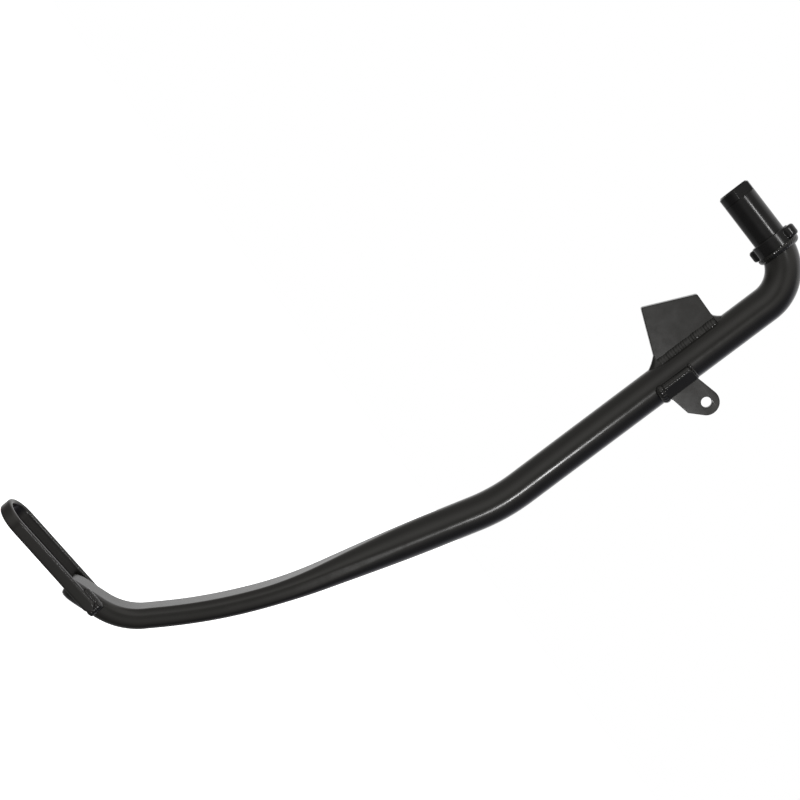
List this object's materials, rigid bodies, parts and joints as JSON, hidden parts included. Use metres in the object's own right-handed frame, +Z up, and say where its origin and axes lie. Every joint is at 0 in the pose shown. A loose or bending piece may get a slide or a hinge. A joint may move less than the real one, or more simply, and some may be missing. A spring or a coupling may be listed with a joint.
{
  "type": "motorcycle kickstand leg",
  "caption": "Welded steel side-stand leg with a pivot shaft, lock collar, bumper plate, spring bracket and loop-shaped foot, all in gloss black paint.",
  "frame": {"origin": "on the pivot shaft's axis at the lock collar's seat, the face that meets the vehicle's bracket", "axes": "+Z up along the straight upper leg, -X along the pivot shaft to its free end, and -Y towards the side with the spring bracket; the bent leg lies in the XZ plane"},
  "size_m": [0.1991, 0.0522, 0.4479],
  "materials": {
    "leg_paint": "gloss",
    "shaft_paint": "gloss",
    "weld_paint": "gloss"
  },
  "bodies": {
    "root": {"leg_tube": "leg_paint", "pivot_shaft": "shaft_paint", "lock_collar": "shaft_paint", "collar_weld": "weld_paint", "bumper_plate": "leg_paint", "bumper_weld_front": "weld_paint", "bumper_weld_rear": "weld_paint", "bumper_weld_foot_end": "weld_paint", "bumper_weld_pivot_end": "weld_paint", "spring_bracket": "leg_paint", "bracket_weld_edge": "weld_paint", "bracket_weld_foot_end": "weld_paint", "bracket_weld_pivot_end": "weld_paint", "foot_loop": "leg_paint", "foot_weld_front": "weld_paint", "foot_weld_rear": "weld_paint"}
  },
  "joints": []
}
